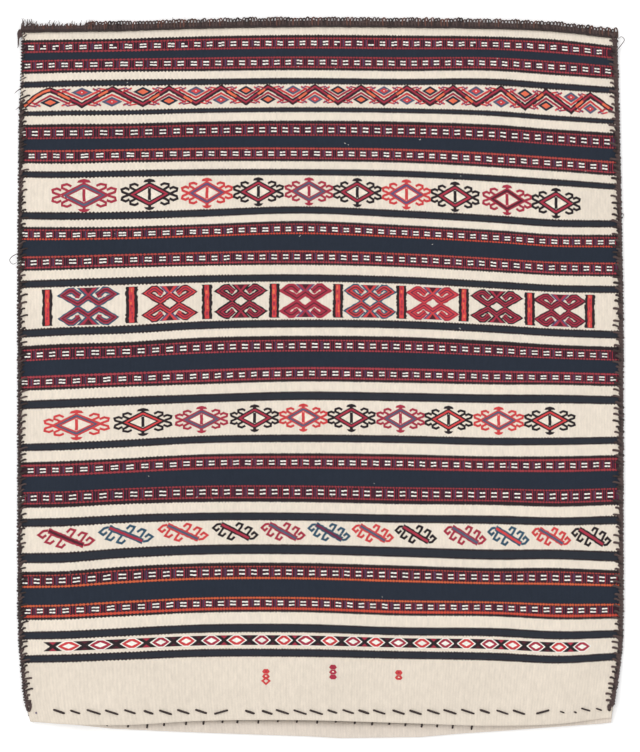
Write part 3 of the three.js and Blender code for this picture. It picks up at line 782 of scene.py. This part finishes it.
def hooked_diamond(made, x, s, scale, outer, second):
    at = (x, s)
    patch(made, rhombus(20.4, 11.2), outer, 0.28, at, scale)
    stroke(made, rhombus(15.2, 8.5), 1.15, second, 0.4, at, scale, closed=True)
    stroke(made, rhombus(12.4, 6.9), 0.75, outer, 0.39, at, scale, closed=True)
    patch(made, rhombus(11.2, 6.1), "ivory", 0.44, at, scale)
    stroke(made, [(0, -5.4), (0, 0), (0, 5.4)], 1.5, outer, 0.56, at, scale)
    for sy in (-1, 1):
        stroke(made, [(0, 9 * sy), (0, 12.6 * sy)], 1.5, outer, 0.36, at, scale)
        foot, foot_y, head, head_y, tip_y = KNOBS[sy]
        knob = [(-foot, foot_y * sy), (foot, foot_y * sy), (head, head_y * sy), (0, tip_y * sy),
                (-head, head_y * sy)]
        knob_at = (x, s + KNOB * sy * scale[1])
        patch(made, [(px, py - KNOB * sy) for px, py in knob], outer, 0.36, knob_at, scale)
        for sx in (-1, 1):
            for line in HOOKS:
                stroke(made, mirrored(line, sx, sy), 1.08, outer, 0.32, at, scale)


def hooked_row(name, motifs, s):
    made = Maker("black")
    places = [motif[0] for motif in motifs]
    for k, (x, outer, second) in enumerate(motifs):
        wide = max(0.93, nearest(x, places) / DIAMOND_PITCH * 1.01 * 0.97)
        hooked_diamond(made, x, s, (wide, 1.04 if k == 0 else 0.98), outer, second)
    return made.build(name, "kilim_cloth")


diamonds_upper = hooked_row("hooked_diamonds_upper", BAND_2, BAND_2_S)
diamonds_lower = hooked_row("hooked_diamonds_lower", BAND_4, BAND_4_S)

# Band 3: crossed double hooks, each its place, edge, main yarn and vein, with upright bars between them
CROSS_S = 300.6
BARS = (47, 131.6, 207, 274.3, 338, 401.5, 463.8, 529.7, 590)
CROSSES = ((88.4, "teal", "crimson", None), (169.8, "maroon", "red", "plum"),
           (240.9, "black", "crimson", None), (305.4, "crimson", "crimson", "maroon"),
           (370, "teal", "red", None), (432.6, "crimson", "red", "plum"),
           (496.5, "black", "crimson", None), (559.9, "maroon", "crimson", "maroon"))
CROSS_SCALES = {0: (1.22, 1.05), 1: (1.08, 1.0)}  # the first two are larger
ARM = [(-6.8, -9.2), (-13, -14.2), (-15.6, -14.2), (-21.4, -10.2), (-8.6, -2.2), (0, -8.4), (8.6, -2.2),
       (21.4, -10.2), (15.6, -14.2), (13, -14.2), (6.8, -9.2)]
LID, LID_INNER, LID_CORE = ([(-9.6, -5.4), (9.6, -5.4), (0, 4.6)], [(-7.4, -5.2), (7.4, -5.2), (0, 2.2)],
                            [(-3.6, -5.1), (3.6, -5.1), (0, -1.2)])
CURL = [(-2.2, 0.6), (2.4, 0.6), (2.2, -1.4)]
crossed = Maker("black")
for k, x in enumerate(BARS):
    at = (x, CROSS_S)
    half = 5.9 if k == 1 else 5.0
    stroke(crossed, [(0, -17), (0, 17)], half, "black", 0.34, at, pitch=1.6)
    stroke(crossed, [(0, -16.6), (0, 16.6)], half * 0.44, "red", 0.46, at)
    low = -15.5
    while low < 13:
        long = rng.uniform(1.5, 5)
        shift = rng.uniform(-0.8, 0.8)
        width, yarn = rng.uniform(0.5, 1.1), rng.choice(("orange", "crimson"))
        stroke(crossed, [(shift, low), (shift, low + long)], width, yarn, 0.58, at, pitch=3)
        low += long + rng.uniform(0.5, 2.5)
for k, (x, edge, main, vein) in enumerate(CROSSES):
    at, scale = (x, CROSS_S), CROSS_SCALES.get(k, (1.0, 1.0))
    for sy in (1, -1):
        for width, yarn, lift in ((3.15, edge, 0.32), (1.75, main, 0.44), (0.55, vein or "maroon", 0.54)):
            stroke(crossed, mirrored(ARM, 1, sy), width, yarn, lift, at, scale)
        lid_at = (x, CROSS_S - 11.2 * sy * scale[1])
        for lid, yarn, lift in ((LID, "violet" if vein else edge, 0.3),
                                (LID_INNER, main if k % 3 else "crimson", 0.4), (LID_CORE, "maroon", 0.5)):
            patch(crossed, mirrored(lid, 1, sy), yarn, lift, lid_at, scale)
        for sx in (-1, 1):
            curl_at = (x + 8.6 * sx * scale[0], CROSS_S - 8.6 * sy)
            patch(crossed, mirrored(CURL, sx, sy), main, 0.4, curl_at, scale)

# Band 5: slanting combs with hooks on both sides, each its place, outer and second yarn
COMB_S, COMB_PITCH = 531.6, 56
COMBS = ((66, "crimson", "maroon"), (126, "teal", "crimson"), (183, "red", "slate"),
         (235.3, "black", "crimson"), (283, "crimson", "slate"), (329, "teal", "plum"),
         (372.8, "red", "slate"), (415.7, "black", "crimson"), (465, "crimson", "slate"),
         (508.4, "teal", "red"), (551.2, "red", "slate"), (591.5, "black", "crimson"))
TEETH = ([(4, -1), (6.8, -4.2), (8.6, -7), (4.2, -8.4), (0.6, -5.4)],
         [(14, 3.4), (17, -0.2), (19.2, -3), (15, -4.6), (11, -1.8)],
         [(16.8, 7.8), (21.4, 7.2), (26, 3.6), (22.2, 0.8), (18.6, 3.4)])
combs = Maker("black")
for x, outer, second in COMBS:
    wide = nearest(x, [comb[0] for comb in COMBS]) / COMB_PITCH if x < COMBS[-1][0] else 0.74
    at, scale = (x, COMB_S), (wide, 0.98)
    stroke(combs, [(-16.6, -7.5), (16.6, 7.5)], 2.7, outer, 0.32, at, scale)
    stroke(combs, [(-16, -7.2), (16, 7.2)], 1.2, second, 0.44, at, scale)
    for sign in (1, -1):
        for line in TEETH:
            stroke(combs, mirrored(line, sign, sign), 1.1, outer, 0.34, at, scale)

# Band 6: a chain of ringed diamonds, with dark ties between them
CHAIN_S, RING_PITCH, CHAIN_START, CHAIN_END = 640.2, 24.5, 47.5, 605
RINGS = (68.8, 100.6, 131.9, 160.9, 186.3, 211.5, 236.7, 261.9, 283.9, 305.8, 330, 353.1, 376, 398.4, 422,
         445.3, 466.3, 489.5, 512.6, 535.8, 558.9, 582.1)
RING = [(8.6, 0), (5.4, 2.4), (2.1, 4.6), (-2.1, 4.6), (-5.4, 2.4), (-8.6, 0), (-5.4, -2.4), (-2.1, -4.6),
        (2.1, -4.6), (5.4, -2.4)]
TIE = [(-8.7, -4.9), (8.7, -4.9), (2.7, 0), (8.7, 4.9), (-8.7, 4.9), (-2.7, 0)]
TIE_WEDGE = [(-3.5, 1.1), (3.5, 1.1), (0, -2.0)]
chain = Maker("black")
for k, (x, after) in enumerate(zip(RINGS, RINGS[1:] + (CHAIN_END,))):
    at, scale = (x, CHAIN_S), ((after - x) / RING_PITCH, 1)
    yarn = "red" if k % 2 == 0 else "crimson"
    stroke(chain, mirrored(RING, 1.08, 1.12), 0.5, "white", 0.4, at, scale, closed=True)
    patch(chain, RING, yarn, 0.34, at, scale)
    stroke(chain, mirrored(RING, 0.7, 0.68), 0.9, yarn, 0.46, at, scale, closed=True)
    patch(chain, rhombus(5, 2.7), "white", 0.54, at, scale)
ties = [((CHAIN_START + RINGS[0]) / 2 - 5.5, 1.1)]
ties += [((before + x) / 2, (x - before) / RING_PITCH) for before, x in zip(RINGS, RINGS[1:])]
for k, (x, wide) in enumerate(ties):
    patch(chain, TIE, "black", 0.28, (x, CHAIN_S), (wide, 1))
    yarn = "maroon" if k % 3 else "crimson"
    for sy in (-1, 1):
        patch(chain, mirrored(TIE_WEDGE, 1, sy), yarn, 0.4, (x, CHAIN_S + 3.7 * sy), (wide, 1))

# Three small marks near the lip, each a stack of beads
MARK_PITCH = 4.9
BEAD_SHAPE = [(-3.9, 0.5), (-2, -2.1), (2, -2.1), (3.9, 0.5), (2, 2.5), (-2, 2.5)]
small = Maker("red")
for x, s, yarn, count, ringed in ((266, 676, "red", 3, True), (333, 671, "crimson", 3, False),
                                  (398.7, 672.5, "red", 2, False)):
    for k in range(count):
        at = (x, s + (k - (count - 1) / 2) * MARK_PITCH)
        if ringed and k == count - 1:
            stroke(small, rhombus(3.5, 3), 0.9, yarn, 0.34, at, closed=True)
        else:
            patch(small, BEAD_SHAPE, yarn, 0.32, at)
            patch(small, rhombus(1.3, 0.8), "ivory" if k % 2 else "crimson", 0.42, at)

trim = [made.build(name, "kilim_cloth") for name, made in (
    ("border_dashes", dots), ("zigzag_row", zigzag), ("crossed_hooks_row", crossed),
    ("slanting_combs_row", combs), ("diamond_chain_row", chain), ("small_marks", small))]
trim += [diamonds_upper, diamonds_lower]

# Side seams: yarn sewn round both edges, over a cord, with a knot at the mouth
SEAMS = {
    "left": dict(side=-1, edge=LEFT_EDGE, yarns=("dark wool", "dark wool", "wool"), thick=1.0,
                 knot=(2.2, 705), knot_half=4.2, turns=(1.2, 2.3), ends=6, drop=1),
    "right": dict(side=1, edge=RIGHT_EDGE, yarns=("wool", "wool", "dark wool"), thick=1.2,
                  knot=(3.2, 710), knot_half=2.4, turns=(0.5, 1.2), ends=3, drop=0.5),
}
SEAM_END, SEAM_PITCH = 705, 6.3
THIN_CORDS = 18  # points of the left cord, near the base, where it is thin


def side_seam(which, side, edge, yarns, thick, knot, knot_half, turns, ends, drop):
    made = Maker("wool")

    def spot(inward, s, z):
        x = lookup(edge, s) - side * inward
        return (x - ORIGIN_X, ORIGIN_Y - s - float(sag(x, s)), z)

    def top_at(s):
        return float(front_level(lookup(edge, s) - side * 3, s) + CLOTH)

    core = [spot(0.9 + rng.uniform(-0.35, 0.35), s, top_at(s) - 0.9) for s in np.arange(BASE + 2, 709, 4.0)]
    radii = [0.8 if k < THIN_CORDS else 1.5 for k in range(len(core))] if which == "left" else 2.0
    tube(made, core, radii, yarns[0], 8)
    s = BASE - 1.0
    while s < SEAM_END:
        slim = 0.55 if which == "left" and s < 90 else 1.0
        for turn in range(2):
            start = s + turn * SEAM_PITCH / 2 + rng.uniform(-0.35, 0.35)
            reach = (7.2 + rng.uniform(-2.2, 2.0)) if turn == 0 else 2.9 + rng.uniform(-0.8, 0.8)
            reach *= slim
            high = top_at(start)
            slant = 1.5 + rng.uniform(-0.9, 0.9)
            loop = [
                spot(reach, start - slant, high - 0.5), spot(reach * 0.78, start - slant * 1.1, high + 0.7),
                spot(1.9, start, high + 0.9), spot(-0.3, start + 0.7, high * 0.75),
                spot(-1.0 + rng.uniform(-0.5, 0.4), start + 1.2, high * 0.45), spot(-0.2, start + 1.7, 1.8),
                spot(3.2, start + 2.2, 1.5),
            ]
            radius = (1.15 if turn else 1.0) * slim * thick
            tube(made, along(loop, 13), radius * rng.uniform(0.88, 1.12), rng.choice(yarns), 6)
        s += SEAM_PITCH * rng.uniform(0.94, 1.06)
    knot = np.array(spot(*knot, top_at(704) - 0.6))
    for turn in range(6):
        across_by = rng.uniform(*turns)
        along_by = knot_half * rng.uniform(0.7, 1.1)
        tip = rng.uniform(0, 6.28)
        around = []
        for k in range(12):
            a = tip + k * 0.55
            lifted = 1.4 * math.sin(a * 1.5 + turn)
            around.append(knot + (across_by * math.cos(a), along_by * math.sin(a) + turn * 0.4, lifted))
        tube(made, around, 1.2, rng.choice(yarns), 6)
    for _ in range(ends):
        end = knot + (rng.uniform(-2.4, 2.2), -knot_half - rng.uniform(3.5, 7.5) * drop, -3)
        tube(made, along([knot, (knot + end) / 2 + (rng.uniform(-0.8, 0.8), 0, 1), end], 8),
             np.linspace(0.85, 0.35, 8), rng.choice(yarns), 5)
    made.build(which + "_side_seam", "brown_yarn", [which + "_side_binding"])


for which, seam in SEAMS.items():
    side_seam(which, **seam)

# Base edge: a dark woven line, with short brown loops standing outside it
fringe = Maker("wool")
FRAYED_END, FRINGE_END = 86, 618


def base_line(out, z, radius, yarn):
    line = []
    for x in np.arange(21, 619, 4.0):
        spot = on_front(x, BASE + out + rng.uniform(-0.25, 0.25))
        line.append((spot[0], spot[1], z))
    tube(fringe, line, radius, yarn, 6)


def strand(x, places, radius, yarn, count):
    """Yarn that starts at the base line and follows places given from there."""
    foot = on_front(x, BASE - 1.0)
    tube(fringe, along([(foot[0] + a, foot[1] + b, c) for a, b, c in places], count), radius, yarn, 5)


for z, out, yarn in ((1.2, -1.2, "wool"), (2.6, -2.2, "wool"), (4.4, -2.2, "wool"), (5.7, -1.3, "dark wool"),
                     (6.4, -0.2, "dark wool")):
    base_line(out, z, 0.9, yarn)
for z, out in ((2.4, -3.4), (4.2, -3.6), (3.4, -5.0)):
    base_line(out, z, 0.95, "wool")

x = 21.5
while x < FRINGE_END:
    yarn = rng.choice(("wool", "wool", "wool", "brown", "rust", "dark wool"))
    high = rng.uniform(2.8, 4.4)
    if x < FRAYED_END:
        for _ in range(2):
            tall = rng.uniform(5.0, 7.8)
            lean = rng.uniform(-2.4, 2.4)
            places = [(0, 0.5, high), (lean * 0.4, tall * 0.6, high + 0.6), (lean, tall, high)]
            strand(x + rng.uniform(-1.2, 1.2), places, np.linspace(0.95, 0.4, 8), yarn, 8)
        x += 1.7
        continue
    tall = rng.uniform(7.2, 9.0)
    lean = rng.uniform(-0.8, 0.8)
    wide = rng.uniform(1.1, 1.4)
    places = [(-wide, -1.2, 6), (-wide * 1.1, 0.8, 5.8), (-wide * 1.15 + lean * 0.4, tall * 0.6, high + 0.8),
              (lean - wide * 0.7, tall * 0.94, high + 0.4), (lean + wide * 0.7, tall * 0.96, high - 0.4),
              (wide * 1.15 + lean * 0.4, tall * 0.6, high - 0.8), (wide * 1.1, 0.8, 2.2), (wide, -1, 1.8)]
    strand(x, places, rng.uniform(0.72, 0.95), yarn, 13)
    places = [(0.2, 0.2, 3), (0.2 + lean * 0.5, tall * 0.3, 3.2), (0.2, tall * rng.uniform(0.5, 0.74), 3)]
    strand(x, places, 1.0, yarn, 5)
    x += 3.2 * rng.uniform(0.88, 1.12)

LOOSE_STRANDS, CORNER_STRANDS, HANGING_STRANDS = 64, 22, 8
for k in range(LOOSE_STRANDS):
    corner = k < CORNER_STRANDS
    x = 21 + rng.random() * 12 if corner else rng.choice((rng.uniform(32, 76), rng.uniform(84, 92),
                                                          rng.uniform(32, 320)))
    tall = rng.uniform(7.5, 13.5) if corner else rng.uniform(7.5, 11)
    lean = rng.uniform(-4, 3) if corner else rng.uniform(-1.5, 5)
    yarn = "wool" if corner else rng.choice(("brown", "rust", "wool"))
    places = [(0, 0, 5), (lean * 0.25, tall * 0.5, 5.4), (lean, tall, rng.uniform(3, 6))]
    strand(x, places, np.linspace(rng.uniform(0.4, 0.65), 0.16, 7), yarn, 7)
for k in range(HANGING_STRANDS):
    foot = np.array(((20.5 + k * 0.2 - ORIGIN_X), ORIGIN_Y - 29 - k * 0.9, 5.5))
    hang = np.array([(0, 0, 0), (-2.0 - k * 0.2, -0.6 - k * 0.3, 0.6), (-3.6, -4 - k * 0.8, -1),
                     (-3 - k * 0.35, -7 - k * 0.7, -2)])
    tube(fringe, along(foot + hang, 9), np.linspace(0.7, 0.2, 9), "wool", 5)
fringe.build("base_edge_fringe", "brown_yarn", ["base_binding"])

# Hem stitches: slanting runs on the front lip, each its two ends, and short ticks on the back lip
RUNS = ((54, 64.5), (71, 80), (87.7, 100.3), (106, 118), (125, 135.4), (144.5, 153), (160, 171.5),
        (178, 189), (196, 206.5), (215, 227.5), (245.8, 254.2), (262.6, 272), (276.6, 288.3), (294.2, 306.1),
        (310.3, 322.3), (328, 336.7), (343, 353.4), (359, 368.6), (373.5, 384.7), (393, 404), (410, 421),
        (427.7, 439), (444, 455.8), (461.7, 473.7), (480.3, 489.2), (496.8, 507.7), (513.3, 524.3),
        (536.7, 548.4), (560, 564), (574, 576.4), (581.6, 590), (596.5, 602))
RUN_Y = 711.6
RISING_RUNS = (9, 27)
RUN_SWELL = (0.55, 0.8, 0.95, 1, 1, 1, 1, 0.95, 0.85, 0.7, 0.5)
runs = Maker("black")
for k, (a, b) in enumerate(RUNS):
    tilt = (-0.13 if k in RISING_RUNS else 0.15) * (b - a)
    y = RUN_Y - (2.2 if a > 575 else 0) + rng.uniform(-0.5, 0.5)
    ends = (flat_sag(a, y - tilt), flat_sag((a + b) / 2, y), flat_sag(b, y + tilt))
    low, mid, high = [on_front(px, ps, CLOTH) for px, ps in ends]
    line = [low + (0, 0, -0.8), low + (0.4, 0, 0.5), mid + (0, 0, 0.85), high + (-0.4, 0, 0.5),
            high + (0, 0, -0.8)]
    thick = rng.uniform(0.95, 1.2) * (0.75 if a > 555 else 1)
    tube(runs, along(line, len(RUN_SWELL)), [thick * f for f in RUN_SWELL], "dark wool", 6)
dot = on_front(*flat_sag(36, 713), CLOTH)
tube(runs, [dot + (0, 0, -0.4), dot + (0, 0, 0.3), dot + (0, 0, 0.9)], 0.9, "violet", 6)
front_stitches = runs.build("front_hem_stitches", "dark_thread", ["front_hem_thread"])

TICKS = (107, 128, 147, 164, 186, 203.5, 222.6, 237.4, 258.4, 278, 297, 317.3, 336, 355, 372.4, 389.6,
         405.7, 422, 437.5, 453, 472)
HEM_TOP = 2 * CLOTH + HEM_GAP
ticks = Maker("black")
for k, x in enumerate(TICKS):
    shown = LIP + float(sag(x, LIP)) + 3.2 + 0.5 * (k % 3)
    foot = min(717, LIP - (float(lookup(BACK_LIP, x)) - shown))
    top, mid, end = [on_back(x + dx, foot - d, HEM_TOP) for dx, d in ((0.6, 6.5), (0.2, 3), (-0.3, 0))]
    line = [top + (0, 0, -0.6), top + (0, 0, 0.4), mid + (0, 0, 0.7), end + (0, 0, 0.4), end + (0, 0, -0.6)]
    tube(ticks, along(line, 9), 1.0, "dark wool", 6)
back_stitches = ticks.build("back_hem_stitches", "dark_thread", ["back_hem_thread"])

# Lint: some larger specks at set places, and fine ones anywhere
SPECKS = ((246.5, 150), (460, 325), (387, 89), (508, 464), (197, 497), (40, 502), (300, 236),
          (345, 143), (420, 138))
LINT_COUNT = 70
lint = Maker("white")
for k in range(LINT_COUNT):
    x, s = SPECKS[k] if k < len(SPECKS) else (rng.uniform(30, 610), rng.uniform(40, 640))
    turn = rng.uniform(0, 3.14)
    long = rng.uniform(0.5, 1.3) if k < len(SPECKS) else rng.uniform(0.25, 0.6)
    ends = [(x - long * math.cos(turn), s - long * math.sin(turn)), (x, s),
            (x + long * math.cos(turn + 0.4), s + long * math.sin(turn + 0.4))]
    tube(lint, [on_front(a, b, CLOTH + 0.35) for a, b in ends], 0.22, "white", 5)
lint.build("lint", "ivory_cloth")

# Loose ends of yarn at the side edges, as photo places and heights
LOOSE_ENDS = ([(20, 252, 5), (12, 256, 5), (9, 260, 4), (12, 264, 4), (17, 262, 5)],
              [(617, 50, 5), (622, 44, 5), (625, 39, 4), (622, 36, 4), (619, 38, 5)],
              [(620, 212, 5), (624, 214, 4.5), (623, 218, 4)],
              [(20, 88, 5), (16, 91, 5), (14, 93, 4)], [(20, 105, 5), (17, 108, 5), (15, 109, 4)])
loose = Maker("wool")
for curl in LOOSE_ENDS:
    line = [(x - ORIGIN_X, ORIGIN_Y - y, z) for x, y, z in curl]
    tube(loose, along(line, 12), np.linspace(0.48, 0.25, 12), "wool", 5)
loose.build("loose_ends", "brown_yarn")

# Floor, light and camera; the floor glows a little in view, so that it is white
FLOOR_HALF, FLOOR_GREY, FLOOR_GLOW = 4, 0.93, 0.2
floor_mesh = bpy.data.meshes.new("floor")
floor_mesh.from_pydata([(x * FLOOR_HALF, y * FLOOR_HALF, 0) for x, y in ((-1, -1), (1, -1), (1, 1), (-1, 1))],
                       [], [(0, 1, 2, 3)])
floor = put_in_scene("floor", floor_mesh)
floor_look = bpy.data.materials.new("floor")
tree, shader = nodes_of(floor_look)
set_inputs(shader, {"Base Color": (FLOOR_GREY, FLOOR_GREY, FLOOR_GREY, 1), "Roughness": 1.0,
                    "Specular IOR Level": 0.0, "Emission Color": (1, 1, 1, 1)})
rays = add(tree, "ShaderNodeLightPath")
seen = maths(tree, "ADD", rays.outputs["Is Glossy Ray"], rays.outputs["Is Transmission Ray"])
seen = maths(tree, "MINIMUM", maths(tree, "ADD", seen, rays.outputs["Is Camera Ray"]), 1.0)
tree.links.new(maths(tree, "MULTIPLY", seen, FLOOR_GLOW), shader.inputs["Emission Strength"])
floor_mesh.materials.append(floor_look)
floor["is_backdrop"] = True

WORLD_STRENGTH, SUN_STRENGTH = 0.8, 0.95
world = bpy.data.worlds.new("studio")
bpy.context.scene.world = world
world.use_nodes = True
set_inputs(world.node_tree.nodes["Background"], {"Color": (1, 1, 1, 1), "Strength": WORLD_STRENGTH})

sun = bpy.data.lights.new("key", "SUN")
sun.energy = SUN_STRENGTH
sun.angle = math.radians(35)
key = put_in_scene("key", sun)
key.rotation_euler = (math.radians(-18), math.radians(-24), 0)

# The camera looks straight down from where the photo's height, at the cloth's face, fills the frame
FOCAL, SENSOR = 200, 36
PHOTO_HEIGHT, FACE_HEIGHT = 752 * MM, 0.012
lens = bpy.data.cameras.new("camera")
lens.lens = FOCAL
lens.clip_end = 50
camera = put_in_scene("camera", lens)
camera.location = (-0.5 * MM, 1.7 * MM, PHOTO_HEIGHT * FOCAL / SENSOR + FACE_HEIGHT)
bpy.context.scene.camera = camera
bpy.context.scene.view_settings.view_transform = "Standard"

bpy.context.view_layer.update()
low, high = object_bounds()
